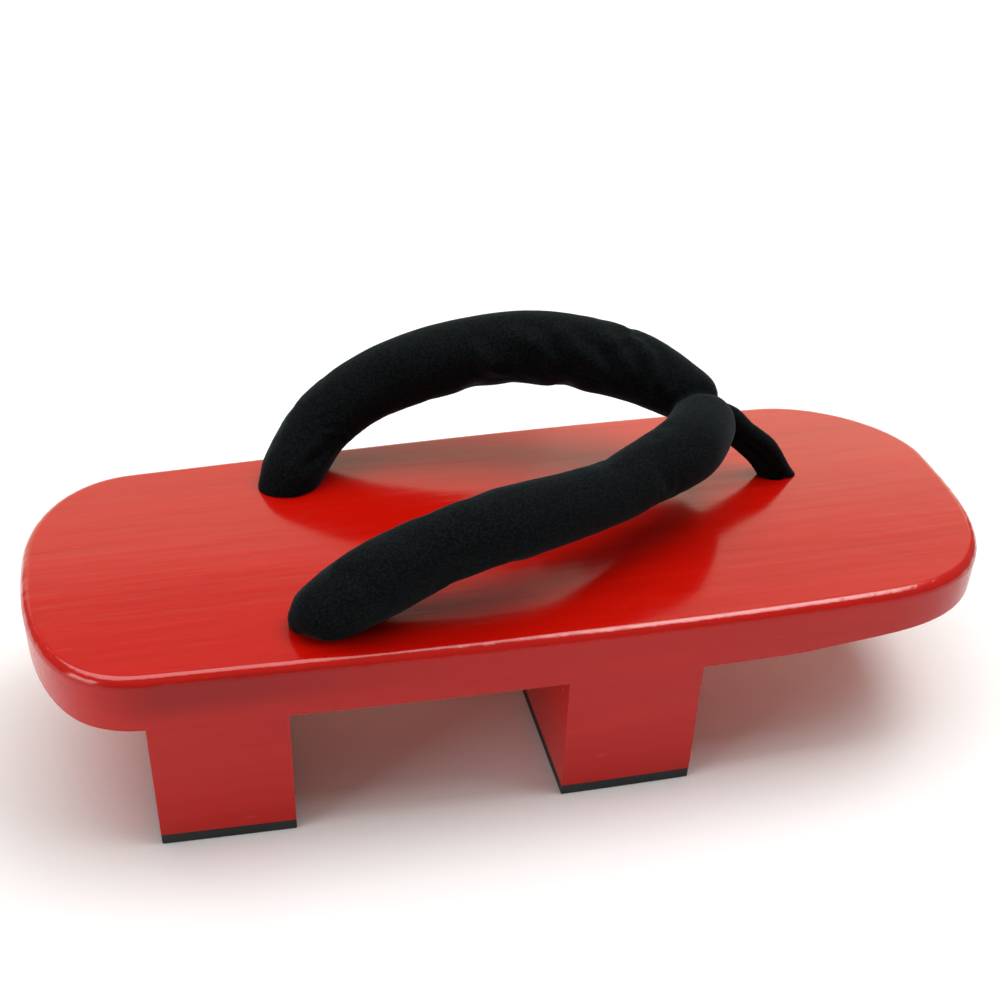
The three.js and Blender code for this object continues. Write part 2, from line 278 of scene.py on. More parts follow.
# Where a leg meets the board it spreads, or is drawn in where the spread is negative. The higher narrow is,
# the narrower is the place round the leg.
ROOT_HEIGHT = 7 * MM
ROOTS = [
    {"hole": 0, "spread": 1.6 * MM, "towards": (-0.99, 0.14), "narrow": 6},
    {"hole": 0, "spread": -1.5 * MM, "towards": (-0.64, -0.77), "narrow": 4},
    {"hole": 1, "spread": 1.5 * MM, "towards": (-0.94, -0.34), "narrow": 6},
    {"hole": 1, "spread": 1.5 * MM, "towards": (-0.60, -0.80), "narrow": 2},
]

# Toe post: folded plies of the band, and the loop round the fold. A ply runs through the places of its path:
# forward of the fold, height over the board, and its radius there. Sideways is towards the inner side, at
# the fold and at the board.
POST_PLIES = [
    {
        "sideways": (0.3 * MM, -0.9 * MM),
        "path": [
            (5.7 * MM, 19.6 * MM, 2.5 * MM),
            (9.3 * MM, 17.9 * MM, 2.6 * MM),
            (13.3 * MM, 14.1 * MM, 2.4 * MM),
            (19.6 * MM, 9.3 * MM, 2.3 * MM),
            (22.5 * MM, 5.0 * MM, 2.3 * MM),
            (25.0 * MM, 1.0 * MM, 2.3 * MM),
            (27.6 * MM, -2.6 * MM, 2.5 * MM),
        ],
    },
    {
        "sideways": (2.4 * MM, 1.6 * MM),
        "path": [
            (5.7 * MM, 16.5 * MM, 2.3 * MM),
            (11.0 * MM, 14.3 * MM, 2.3 * MM),
            (16.0 * MM, 9.8 * MM, 2.3 * MM),
            (19.9 * MM, 5.4 * MM, 2.4 * MM),
            (22.2 * MM, 1.4 * MM, 2.6 * MM),
            (24.1 * MM, -1.9 * MM, 2.8 * MM),
        ],
    },
    {
        "sideways": (0.2 * MM, -0.9 * MM),
        "path": [
            (5.2 * MM, 14.0 * MM, 1.9 * MM),
            (9.2 * MM, 11.9 * MM, 1.9 * MM),
            (13.3 * MM, 8.6 * MM, 1.9 * MM),
            (17.1 * MM, 5.0 * MM, 2.0 * MM),
            (19.5 * MM, 1.9 * MM, 2.2 * MM),
            (21.5 * MM, -1.0 * MM, 2.3 * MM),
            (22.4 * MM, -4.0 * MM, 2.4 * MM),
        ],
    },
]
LOOP_CORE_DIAMETER = 8.8 * MM
LOOP_THICKNESS = 1.4 * MM
LOOP_WIDTH = 5.0 * MM
LOOP_SHIFT = Vector((1.2 * MM, 0, -0.9 * MM))
LOOP_SIDES = 64
LOOP_SECTION_SIDES = 16
PLY_COLUMNS = 8
PLY_SIDES = 20
POST_VOXEL = 0.45 * MM
POST_SMOOTHING = 4

# Knots under the board. A knot's round starts at KNOT_START and stops short of a full turn by KNOT_OPENING,
# in radians. The tail runs on through the places of its shape: outwards and upwards, in shares of its
# length.
KNOT_DIAMETER = 14 * MM
KNOT_HEIGHT = 7 * MM
KNOT_CLEARANCE = 0.5 * MM
KNOT_START = 0.35
KNOT_OPENING = 0.5
KNOT_POINTS = 22
CORD_THICKNESS = 3.6 * MM
CORD_STRANDS = 3
CORD_LAY = 8 * MM
CORD_TAIL = 5 * MM
CORD_TAIL_SHAPE = [(0.5, -0.3), (1.0, -0.5)]
CORD_COLUMNS = 8
STRAND_FULLNESS = 1.12
STRAND_SIDES = 8
POST_CORD_TOP = TOP_Z + 1 * MM

# Camera of the photograph
CAMERA_PLACE = Vector((-76.8 * MM, -275.9 * MM, 248.6 * MM))
CAMERA_FORWARD = Vector((0.2118, 0.8021, -0.5583))
CAMERA_RIGHT = Vector((0.9719, -0.2331, 0.0337))
CAMERA_LENS = 49.55
CAMERA_SENSOR = 36
NEAREST_SEEN = 10 * MM

# Studio: a pale sky, two lights over the sandal, one at its left, and cards that the lacquer reflects
SKY_COLOUR = (1.0, 0.96, 0.88, 1.0)
SKY_STRENGTH = 0.22
SANDAL_MIDDLE = (0.0, 0.0, 0.04)
WHITE = (1.0, 1.0, 1.0)
COOL_WHITE = (0.98, 0.99, 1.0)
CREAM = (1.0, 0.95, 0.70)
PALE_CREAM = (1.0, 0.95, 0.72)
LIGHTS = [
    {
        "name": "overhead_light",
        "place": (0.0, 0.33, 1.45),
        "target": SANDAL_MIDDLE,
        "size": (2.0, 1.1),
        "watts": 20.0,
        "colour": COOL_WHITE,
    },
    {
        "name": "toe_side_light",
        "place": (0.6, 0.02, 1.35),
        "target": SANDAL_MIDDLE,
        "size": (1.0, 0.55),
        "watts": 7.5,
        "colour": WHITE,
    },
    {
        "name": "left_light",
        "place": (-1.5, -0.55, 0.55),
        "target": SANDAL_MIDDLE,
        "size": (0.8, 0.8),
        "watts": 8.0,
        "colour": WHITE,
    },
    {
        "name": "back_card",
        "place": (0.35, 1.75, 0.67),
        "target": (0.35, 0.0, 0.67),
        "size": (3.6, 1.34),
        "watts": 11.0,
        "colour": CREAM,
    },
    {
        "name": "upper_card",
        "place": (0.35, 1.75, 1.58),
        "target": (0.35, 0.0, 1.58),
        "size": (3.6, 0.44),
        "watts": 0.5,
        "colour": CREAM,
    },
    {
        "name": "toe_side_card",
        "place": (1.25, 1.72, 0.85),
        "target": (0.6, 0.0, 0.85),
        "size": (1.4, 1.7),
        "watts": 2.9,
        "colour": PALE_CREAM,
    },
]
FLOOR_SIZE = 8


# Camera, floor and light


def place_camera():
    forward = CAMERA_FORWARD.normalized()
    up = CAMERA_RIGHT.cross(forward).normalized()
    right = forward.cross(up)
    bpy.ops.object.camera_add()
    camera = bpy.context.object
    camera.name = "photo_camera"
    camera.data.lens = CAMERA_LENS
    camera.data.sensor_width = CAMERA_SENSOR
    camera.data.clip_start = NEAREST_SEEN
    turn = Matrix((right, up, -forward)).transposed().to_4x4()
    camera.matrix_world = Matrix.Translation(CAMERA_PLACE) @ turn
    bpy.context.scene.camera = camera


def area_light(row):
    bpy.ops.object.light_add(type="AREA", location=row["place"])
    light = bpy.context.object
    light.name = row["name"]
    light.data.shape = "RECTANGLE"
    light.data.size, light.data.size_y = row["size"]
    light.data.energy = row["watts"]
    light.data.color = row["colour"]
    aim = Vector(row["target"]) - Vector(row["place"])
    light.rotation_euler = aim.to_track_quat("-Z", "Y").to_euler()
    light.visible_camera = False


def light_studio():
    world = bpy.data.worlds.new("studio")
    bpy.context.scene.world = world
    world.use_nodes = True
    sky = world.node_tree.nodes["Background"]
    sky.inputs["Color"].default_value = SKY_COLOUR
    sky.inputs["Strength"].default_value = SKY_STRENGTH
    for row in LIGHTS:
        area_light(row)
    bpy.context.scene.view_settings.view_transform = "Standard"


def lay_floor(look):
    bpy.ops.mesh.primitive_plane_add(size=FLOOR_SIZE)
    floor = bpy.context.object
    floor.name = "floor"
    floor.data.materials.append(look)


# Editing


def deselect_all():
    if bpy.context.object and bpy.context.object.mode != "OBJECT":
        bpy.ops.object.mode_set(mode="OBJECT")
    bpy.ops.object.select_all(action="DESELECT")


def make_active(piece):
    deselect_all()
    piece.select_set(True)
    bpy.context.view_layer.objects.active = piece


def edit(piece):
    make_active(piece)
    bpy.ops.object.mode_set(mode="EDIT")
    bpy.ops.mesh.select_mode(type="FACE")
    bpy.ops.mesh.select_all(action="SELECT")


def end_edit():
    bpy.ops.object.mode_set(mode="OBJECT")


def select_faces(piece, wanted):
    bpy.ops.mesh.select_all(action="DESELECT")
    shape = bmesh.from_edit_mesh(piece.data)
    for face in shape.faces:
        face.select_set(wanted(face.calc_center_median(), face.normal))
    bmesh.update_edit_mesh(piece.data)


def apply_modifier(piece, kind, **settings):
    make_active(piece)
    modifier = piece.modifiers.new(kind.lower(), kind)
    for key, value in settings.items():
        setattr(modifier, key, value)
    bpy.ops.object.modifier_apply(modifier=modifier.name)


def carve(piece, tool, operation="DIFFERENCE"):
    apply_modifier(piece, "BOOLEAN", operation=operation, object=tool, solver="EXACT")
    bpy.data.objects.remove(tool)


def join(name, parts):
    deselect_all()
    for part in parts:
        part.select_set(True)
    bpy.context.view_layer.objects.active = parts[0]
    bpy.ops.object.join()
    parts[0].name = name
    return parts[0]


def ease_edges(piece, width, segments):
    apply_modifier(
        piece, "BEVEL", width=width, segments=segments, limit_method="ANGLE",
        angle_limit=math.radians(EASED_ANGLE))


def cut_at_board(piece):
    """Cuts off what lies under the board's top, and closes the cut."""
    edit(piece)
    bpy.ops.mesh.bisect(
        plane_co=(0, 0, TOP_Z + STRAP_LIFT), plane_no=(0, 0, 1), use_fill=True, clear_inner=True)
    end_edit()


def smooth_by_angle(piece, degrees):
    make_active(piece)
    bpy.ops.object.shade_smooth_by_angle(angle=math.radians(degrees))


def shade_hard(piece):
    """Shading of a wooden or rubber piece: flat faces stay flat up to their eased edges."""
    smooth_by_angle(piece, HARD_SHADING_ANGLE)
    apply_modifier(piece, "WEIGHTED_NORMAL", keep_sharp=True, weight=FACE_WEIGHT)


def settle(piece, look, *nodes):
    piece.data.materials.clear()
    piece.data.materials.append(look["material"])
    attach(piece, "root")
    if nodes:
        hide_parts(*nodes)


# Outline of the platform


def half_width_at(x):
    """Half the width of the board at x, on the smooth curve through the stations."""
    share = (x - HEEL_X) / LENGTH
    total = 0.0
    for one in SIDE_STATIONS:
        weight = 1.0
        for other in SIDE_STATIONS:
            if other is not one:
                weight *= (share - other["from_heel"]) / (one["from_heel"] - other["from_heel"])
        total += weight * one["width"] / 2
    return total


def side_line(row):
    """One side of the outline, from the tip of the heel round its corners to the tip of the toe."""
    line = []

    def add(x, squeeze, tip):
        y = tip + (row["side"] * half_width_at(x) - tip) * squeeze
        line.append((x, MIDDLE_Y + y))

    for i in range(CORNER_STEPS):
        turn = math.pi / 2 * (1 - i / CORNER_STEPS)
        reach = math.sin(turn) ** (2 / row["heel_power"])
        squeeze = 0.0 if i == 0 else math.cos(turn) ** (2 / row["heel_power"])
        add(HEEL_X + row["heel_length"] * (1 - reach), squeeze, HEEL_TIP_OFFSET)
    start = HEEL_X + row["heel_length"]
    end = TOE_X - row["toe_length"]
    for i in range(SIDE_STEPS + 1):
        add(start + (end - start) * i / SIDE_STEPS, 1.0, 0.0)
    for i in range(1, CORNER_STEPS):
        turn = math.pi / 2 * i / CORNER_STEPS
        reach = math.sin(turn) ** (2 / row["toe_power"])
        add(end + row["toe_length"] * reach, math.cos(turn) ** (2 / row["toe_power"]), TOE_TIP_OFFSET)
    add(TOE_X, 0.0, TOE_TIP_OFFSET)
    return line


def outline():
    outer = side_line(OUTER_SIDE)
    inner = side_line(INNER_SIDE)
    return outer + inner[-2:0:-1]


def outline_slab(name, bottom, top):
    points = outline()
    deselect_all()
    bpy.ops.mesh.primitive_circle_add(vertices=len(points), radius=LENGTH / 2, fill_type="NGON")
    slab = bpy.context.object
    slab.name = name
    for vertex, (x, y) in zip(slab.data.vertices, points):
        vertex.co = (x, y, bottom)
    edit(slab)
    bpy.ops.mesh.extrude_region_move(TRANSFORM_OT_translate={"value": (0, 0, top - bottom)})
    bpy.ops.mesh.select_all(action="SELECT")
    bpy.ops.mesh.normals_make_consistent(inside=False)
    end_edit()
    return slab


# Platform


def underside_at(x):
    toe = max(0.0, (x - (TOE_X - TOE_SWEEP_LENGTH)) / TOE_SWEEP_LENGTH)
    heel = max(0.0, 1 - (x - HEEL_X) / HEEL_SWEEP_LENGTH)
    return UNDERSIDE_Z + TOE_SWEEP_RISE * (1 - (1 - toe) ** 2) + HEEL_SWEEP_RISE * heel ** 2


def waste_block(start, end, steps):
    """What is cut away under the board between start and end, its top following the underside."""
    deselect_all()
    bpy.ops.mesh.primitive_grid_add(x_subdivisions=steps, y_subdivisions=1, size=1)
    block = bpy.context.object
    for vertex in block.data.vertices:
        x = start + (vertex.co.x + 0.5) * (end - start)
        vertex.co = (x, 2 * vertex.co.y * LENGTH, underside_at(max(x, HEEL_X)))
    edit(block)
    bpy.ops.mesh.extrude_region_move(TRANSFORM_OT_translate={"value": (0, 0, -2 * TOP_Z)})
    bpy.ops.mesh.select_all(action="SELECT")
    bpy.ops.mesh.normals_make_consistent(inside=False)
    end_edit()
    return block


def build_platform(look):
    platform = outline_slab("lacquered_platform", TREAD_TOP, TOP_Z)
    edit(platform)
    select_faces(platform, lambda centre, normal: normal.z > LEVEL_NORMAL and centre.z > UNDERSIDE_Z)
    bpy.ops.mesh.region_to_loop()
    bpy.ops.mesh.bevel(offset=EDGE_ROLL, segments=ROLL_SEGMENTS, affect="EDGES")
    end_edit()
    carve(platform, waste_block(HEEL_X - PAST_END, REAR_TOOTH[0], SWEPT_STEPS))
    carve(platform, waste_block(REAR_TOOTH[1], FRONT_TOOTH[0], LEVEL_STEPS))
    carve(platform, waste_block(FRONT_TOOTH[1], TOE_X + PAST_END, SWEPT_STEPS))
    ease_edges(platform, EASED_EDGE, EASED_SEGMENTS)
    for hole in HOLES:
        deselect_all()
        bpy.ops.mesh.primitive_cylinder_add(
            vertices=HOLE_SIDES,
            radius=hole["diameter"] / 2,
            depth=2 * BOARD_THICKNESS,
            location=(hole["x"], MIDDLE_Y + hole["y"], TOP_Z - BOARD_THICKNESS / 2))
        carve(platform, bpy.context.object)
    shade_hard(platform)
    settle(platform, look, "platform")


# Treads


def build_tread(node, look):
    low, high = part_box(node)
    tread = outline_slab(node + "_rubber", low.z, high.z)
    deselect_all()
    bpy.ops.mesh.primitive_cube_add(size=1, location=((low.x + high.x) / 2, MIDDLE_Y, (low.z + high.z) / 2))
    slice_tool = bpy.context.object
    slice_tool.scale = (high.x - low.x, LENGTH, LENGTH)
    bpy.ops.object.transform_apply(location=True, rotation=True, scale=True)
    carve(tread, slice_tool, "INTERSECT")
    ease_edges(tread, EASED_TREAD_EDGE, EASED_TREAD_SEGMENTS)
    shade_hard(tread)
    settle(tread, look, node)


# Paths


def smooth_path(points, per_span):
    """A centripetal curve through the points, with any number of columns."""
    points = np.array(points, float)
    padded = np.vstack([2 * points[0] - points[1], points, 2 * points[-1] - points[-2]])
    made = []
    for i in range(1, len(padded) - 2):
        four = padded[i - 1:i + 3]
        gaps = np.linalg.norm(np.diff(four[:, :3], axis=0), axis=1) ** 0.5
        t = np.concatenate([[0.0], np.cumsum(gaps)])
        for k in range(per_span + (i == len(padded) - 3)):
            u = t[1] + (t[2] - t[1]) * k / per_span
            level = four
            for depth in range(1, 4):
                level = [
                    ((t[j + depth] - u) * level[j] + (u - t[j]) * level[j + 1]) / (t[j + depth] - t[j])
                    for j in range(4 - depth)
                ]
            made.append(level[0])
    return np.array(made)


def tube(name, places, radii, sides):
    """A round tube on a path, closed at its ends."""
    data = bpy.data.curves.new(name, "CURVE")
    data.dimensions = "3D"
    data.bevel_depth = 1.0
    data.bevel_resolution = sides // 2 - 2
    data.use_fill_caps = True
    spline = data.splines.new("POLY")
    spline.points.add(len(places) - 1)
    for point, place, radius in zip(spline.points, places, radii):
        point.co = (*place, 1.0)
        point.radius = radius
    piece = bpy.data.objects.new(name, data)
    bpy.context.scene.collection.objects.link(piece)
    make_active(piece)
    bpy.ops.object.convert(target="MESH")
    return bpy.context.object


def domed(places, radii):
    """The path with both ends drawn out to a dome."""
    steps = [math.radians(degrees) for degrees in DOME_DEGREES]
    first = (places[0] - places[1]) / np.linalg.norm(places[0] - places[1])
    last = (places[-1] - places[-2]) / np.linalg.norm(places[-1] - places[-2])
    start = [places[0] + first * math.sin(a) * radii[0] for a in steps]
    end = [places[-1] + last * math.sin(a) * radii[-1] for a in reversed(steps)]
    start_radii = [math.cos(a) * radii[0] for a in steps]
    end_radii = [math.cos(a) * radii[-1] for a in reversed(steps)]
    return np.vstack([start, places, end]), np.concatenate([start_radii, radii, end_radii])


def leg_path(leg):
    """Places and radii along a leg of the strap."""
    hole_y = leg["side"] * REAR_HOLE_SPACING / 2
    stations = []
    for row in leg["rows"]:
        x = REAR_HOLE_X + (FOLD_X - REAR_HOLE_X) * row["along"]
        straight = hole_y + (leg["fold_y"] - hole_y) * row["along"]
        y = MIDDLE_Y + straight + leg["side"] * leg["bow"] * row["bow"]
        stations.append((x, y, TOP_Z + leg["rise"] * row["rise"], STRAP_THICKNESS * row["girth"] / 2))
    curve = smooth_path(stations, LEG_COLUMNS)
    return curve[:, :3], curve[:, 3]


# Strap


def swell(piece, held):
    """Lets the cloth swell by its filling. held is 1 where a vertex stays and 0 where it is free."""
    before = np.array([vertex.co for vertex in piece.data.vertices])
    group = piece.vertex_groups.new(name="held")
    for index, weight in enumerate(held):
        group.add([index], float(weight), "REPLACE")
    make_active(piece)
    modifier = piece.modifiers.new("swell", "CLOTH")
    cloth = modifier.settings
    for key, value in SWELL_CLOTH.items():
        setattr(cloth, key, value)
    cloth.effector_weights.gravity = 0
    cloth.vertex_group_mass = group.name
    modifier.collision_settings.use_collision = False
    scene = bpy.context.scene
    for number in range(1, SWELL_FRAMES + 1):
        scene.frame_set(number)
    bpy.ops.object.modifier_apply(modifier=modifier.name)
    scene.frame_set(1)
    after = np.array([vertex.co for vertex in piece.data.vertices])
    move = after - before
    reach = np.linalg.norm(move, axis=1)
    share = SWELL_CAP * np.tanh(reach / SWELL_CAP) / np.maximum(reach, TINY)
    piece.data.vertices.foreach_set("co", (before + move * share[:, None]).ravel())
    piece.vertex_groups.clear()
    piece.data.update()


class LegSurface:
    """Tells where a point of the strap lies on a leg: share of its length, and degrees round it."""

    def __init__(self, leg):
        places, radii = leg_path(leg)
        steps = np.linalg.norm(np.diff(places, axis=0), axis=1)
        self.places = places
        self.radii = radii
        self.run = np.concatenate([[0.0], np.cumsum(steps)])
        tangents = np.gradient(places, axis=0)
        self.tangents = tangents / np.linalg.norm(tangents, axis=1)[:, None]
        side = np.array([0.0, -1.0, 0.0]) - self.tangents * -self.tangents[:, 1:2]
        self.side = side / np.linalg.norm(side, axis=1)[:, None]
        self.up = np.cross(self.side, self.tangents)
        self.up *= np.sign(self.up[:, 2:3])

    def locate(self, points):
        """For each point, its run along the leg, angle round it, radius there, way out, depth in radii."""
        gaps = np.linalg.norm(points[:, None, :] - self.places[None, :, :], axis=2)
        nearest = gaps.argmin(axis=1)
        away = points - self.places[nearest]
        tangent = self.tangents[nearest]
        past = (away * tangent).sum(axis=1)
        run = self.run[nearest] + past
        side = (away * self.side[nearest]).sum(axis=1)
        up = (away * self.up[nearest]).sum(axis=1)
        outward = away - tangent * past[:, None]
        outward /= np.maximum(np.linalg.norm(outward, axis=1), TINY)[:, None]
        depth = gaps[np.arange(len(points)), nearest] / self.radii[nearest]
        return run, np.arctan2(up, side), self.radii[nearest], outward, depth


def distance_to_path(run, turn, radius, path, whole, middle):
    """How far each point lies from a crease drawn on a leg, and how far along the crease it lies."""
    places = [
        np.stack([np.full_like(run, share * whole), (math.radians(degrees) - middle) * radius], 1)
        for share, degrees in path
    ]
    here = np.stack([run, turn * radius], 1)
    nearest = np.full(len(run), np.inf)
    along = np.zeros(len(run))
    for number, (start, end) in enumerate(zip(places, places[1:])):
        line = end - start
        share = np.clip(((here - start) * line).sum(1) / (line * line).sum(1), 0.0, 1.0)
        gap = np.linalg.norm(here - start - line * share[:, None], axis=1)
        closer = gap < nearest
        nearest = np.where(closer, gap, nearest)
        along = np.where(closer, (number + share) / (len(path) - 1), along)
    return nearest, along


def crease_strap(piece):
    """Presses the creases and the valley at the fold into the skin, each on its own leg."""
    points = np.array([vertex.co for vertex in piece.data.vertices])
    legs = {"outer": LegSurface(OUTER_LEG), "inner": LegSurface(INNER_LEG)}
    found = {name: surface.locate(points) for name, surface in legs.items()}
    difference = found["outer"][4] - found["inner"][4]
    moved = points.copy()
    for crease in CREASES:
        run, round_angle, radius, outward, _ = found[crease["leg"]]
        on_leg = difference < 0 if crease["leg"] == "outer" else difference >= 0
        degrees = [place[1] for place in crease["path"]]
        middle = math.radians((min(degrees) + max(degrees)) / 2)
        turn = (round_angle - middle + math.pi) % (2 * math.pi) - math.pi
        whole = legs[crease["leg"]].run[-1]
        gap, along = distance_to_path(run, turn, radius, crease["path"], whole, middle)
        gap /= crease["width"]
        fade = np.sin(np.pi * np.clip(along, CREASE_END_FADE, 1 - CREASE_END_FADE)) ** 0.5
        shoulder = crease.get("shoulder", CREASE_SHOULDER)
        trough = np.exp(-gap ** 2) - shoulder * np.exp(-(gap - SHOULDER_WIDTHS_AWAY) ** 2)
        moved -= outward * (crease["depth"] * trough * fade * on_leg)[:, None]
    past = found["outer"][0] / legs["outer"].run[-1] - VALLEY_START
    valley = np.exp(-(difference / VALLEY_WIDTH) ** 2) * np.clip(past / VALLEY_FADE, 0.0, 1.0)
    between = (found["outer"][3] + found["inner"][3]) / 2
    moved -= between * (VALLEY_DEPTH * valley)[:, None]
    piece.data.vertices.foreach_set("co", moved.ravel())
    piece.data.update()


def spread_roots(piece):
    """Shapes the foot of each leg, less and less up to the root's height."""
    points = np.array([vertex.co for vertex in piece.data.vertices])
    low = np.clip(1 - (points[:, 2] - TOP_Z) / ROOT_HEIGHT, 0, 1) ** 2
    for root in ROOTS:
        hole = HOLES[root["hole"]]
        across = points[:, :2] - np.array([hole["x"], MIDDLE_Y + hole["y"]])
        reach = np.linalg.norm(across, axis=1)
        across /= np.maximum(reach, TINY)[:, None]
        facing = np.clip(across @ np.array(root["towards"]), 0, 1) ** root["narrow"]
        share = low * facing * (reach < STRAP_THICKNESS)
        points[:, :2] += across * (root["spread"] * share)[:, None]
    piece.data.vertices.foreach_set("co", points.ravel())
    piece.data.update()


def build_strap(look):
    legs = []
    for name, leg in (("outer", OUTER_LEG), ("inner", INNER_LEG)):
        places, radii = domed(*leg_path(leg))
        legs.append(tube(name, places, radii, LEG_SIDES))
    strap = join("padded_strap", legs)
    apply_modifier(strap, "REMESH", mode="VOXEL", voxel_size=STRAP_VOXEL)
    apply_modifier(strap, "SMOOTH", factor=SMOOTHING_FACTOR, iterations=STRAP_SMOOTHING)
    heights = np.array([vertex.co.z for vertex in strap.data.vertices])
    reach = np.array([vertex.co.x for vertex in strap.data.vertices])
    near_board = np.clip(1 - (heights - TOP_Z) / HELD_HEIGHT, 0, 1)
    near_fold = np.clip((reach - (FOLD_X - HELD_FROM_FOLD)) / HELD_FADE, 0, 1)
    swell(strap, np.maximum(near_board, near_fold))
    apply_modifier(strap, "SUBSURF", levels=1, render_levels=1)
    crease_strap(strap)
    spread_roots(strap)
    cut_at_board(strap)
    smooth_by_angle(strap, SOFT_SHADING_ANGLE)
    settle(strap, look, "strap")


# Toe post


def fold_ends():
    """Where the middle lines of the two legs end at the fold."""
    outer = leg_path(OUTER_LEG)[0][-1]
    inner = leg_path(INNER_LEG)[0][-1]
    return outer, inner


def build_toe_post(look):
    outer, inner = fold_ends()
    centre = (outer + inner) / 2
    axis = Vector(inner - outer).normalized()
    hole_y = MIDDLE_Y + FRONT_HOLE_Y
    parts = []
    for number, ply in enumerate(POST_PLIES):
        stations = []
        for forward, height, radius in ply["path"]:
            x = FOLD_X + forward
            share = min((x - centre[0]) / (FRONT_HOLE_X - centre[0]), 1.0)
            at_fold = centre[1] + ply["sideways"][0]
            at_board = hole_y + ply["sideways"][1]
            y = at_fold + (at_board - at_fold) * share
            stations.append((x, y, TOP_Z + height, radius))
        curve = smooth_path(stations, PLY_COLUMNS)
        places, radii = domed(curve[:, :3], curve[:, 3])
        parts.append(tube(f"ply_{number}", places, radii, PLY_SIDES))
    deselect_all()
    bpy.ops.mesh.primitive_torus_add(
        location=Vector(centre) + LOOP_SHIFT,
        rotation=axis.to_track_quat("Z", "Y").to_euler(),
        major_radius=(LOOP_CORE_DIAMETER + LOOP_THICKNESS) / 2,
        minor_radius=LOOP_THICKNESS / 2,
        major_segments=LOOP_SIDES,
        minor_segments=LOOP_SECTION_SIDES)
    loop = bpy.context.object
    loop.scale = (1, 1, LOOP_WIDTH / LOOP_THICKNESS)
    bpy.ops.object.transform_apply(location=True, rotation=True, scale=True)
    parts.append(loop)
    post = join("toe_post_band", parts)
    apply_modifier(post, "REMESH", mode="VOXEL", voxel_size=POST_VOXEL)
    apply_modifier(post, "SMOOTH", factor=SMOOTHING_FACTOR, iterations=POST_SMOOTHING)
    cut_at_board(post)
    smooth_by_angle(post, SOFT_SHADING_ANGLE)
    settle(post, look, "toe_post")


# Knots


def knot_route(hole, top):
    """Down through the hole, once round a threefold knot under the board, and out in a short tail.

    The knot reaches three widths to the side and one height up and down from its middle.
    """
    x = hole["x"]
    y = MIDDLE_Y + hole["y"]
    under = underside_at(x)
    width = (KNOT_DIAMETER - CORD_THICKNESS) / 6
    height = (KNOT_HEIGHT - CORD_THICKNESS) / 2
    middle = under - KNOT_HEIGHT / 2 - KNOT_CLEARANCE
    points = [(x, y, top), (x, y, under + BOARD_THICKNESS / 2), (x, y, under)]
    for i in range(KNOT_POINTS):
        t = KNOT_START + (2 * math.pi - KNOT_OPENING) * i / (KNOT_POINTS - 1)
        points.append((
            x + width * (math.sin(t) + 2 * math.sin(2 * t)),
            y + width * (math.cos(t) - 2 * math.cos(2 * t)),
            middle - height * math.sin(3 * t)))
    last = points[-1]
    for outwards, upwards in CORD_TAIL_SHAPE:
        points.append((last[0] + CORD_TAIL * outwards, last[1], last[2] + CORD_TAIL * upwards))
    return smooth_path([(*point, 1.0) for point in points], CORD_COLUMNS)[:, :3]


def twisted_cord(name, route):
    """Strands laid round a route."""
    run = np.concatenate([[0.0], np.cumsum(np.linalg.norm(np.diff(route, axis=0), axis=1))])
    tangents = np.gradient(route, axis=0)
    tangents /= np.linalg.norm(tangents, axis=1)[:, None]
    across = np.zeros_like(route)
    across[0] = np.cross(tangents[0], [0.0, 1.0, 0.0])
    for i in range(1, len(route)):
        across[i] = across[i - 1] - tangents[i] * across[i - 1].dot(tangents[i])
        across[i] /= np.linalg.norm(across[i])
    other = np.cross(tangents, across)
    strand = CORD_THICKNESS / (2 + 2 / math.sin(math.pi / CORD_STRANDS)) * STRAND_FULLNESS
    offset = CORD_THICKNESS / 2 - strand
    parts = []
    for number in range(CORD_STRANDS):
        turn = 2 * math.pi * (run / CORD_LAY + number / CORD_STRANDS)
        places = route + offset * (across * np.cos(turn)[:, None] + other * np.sin(turn)[:, None])
        parts.append(tube(f"{name}_{number}", places, np.full(len(places), strand), STRAND_SIDES))
    return join(name, parts)


def build_knots(look):
    tops = [leg_path(OUTER_LEG)[0][0][2], leg_path(INNER_LEG)[0][0][2], POST_CORD_TOP]
    names = ("outer_strap_knot", "inner_strap_knot", "toe_post_knot")
    for name, hole, top in zip(names, HOLES, tops):
        knot = twisted_cord(name, knot_route(hole, top))
        smooth_by_angle(knot, SOFT_SHADING_ANGLE)
        settle(knot, look)


# Materials


class Value:
    """A number that changes over a surface. Arithmetic on it adds Math nodes."""

    def __init__(self, look, socket):
        self.look = look
        self.socket = socket

    def math(self, operation, first, second, clamp=False):
        made = self.look.node(
            "ShaderNodeMath",
            {"operation": operation, "use_clamp": clamp},
            {0: first, 1: second})
        return Value(self.look, made.outputs[0])

    def __add__(self, other):
        return self.math("ADD", self, other)

    def __radd__(self, other):
        return self.math("ADD", other, self)

    def __sub__(self, other):
        return self.math("SUBTRACT", self, other)

    def __rsub__(self, other):
        return self.math("SUBTRACT", other, self)

    def __mul__(self, other):
        return self.math("MULTIPLY", self, other)

    def __rmul__(self, other):
        return self.math("MULTIPLY", other, self)

    def above(self, level, softness):
        """0 under the level and 1 over it, with a soft step between."""
        return self.math("MULTIPLY", self - level, 1 / softness, clamp=True)


# Where a mixing node keeps its two colours and its result
COLOUR_A = 6
COLOUR_B = 7
COLOUR_RESULT = 2


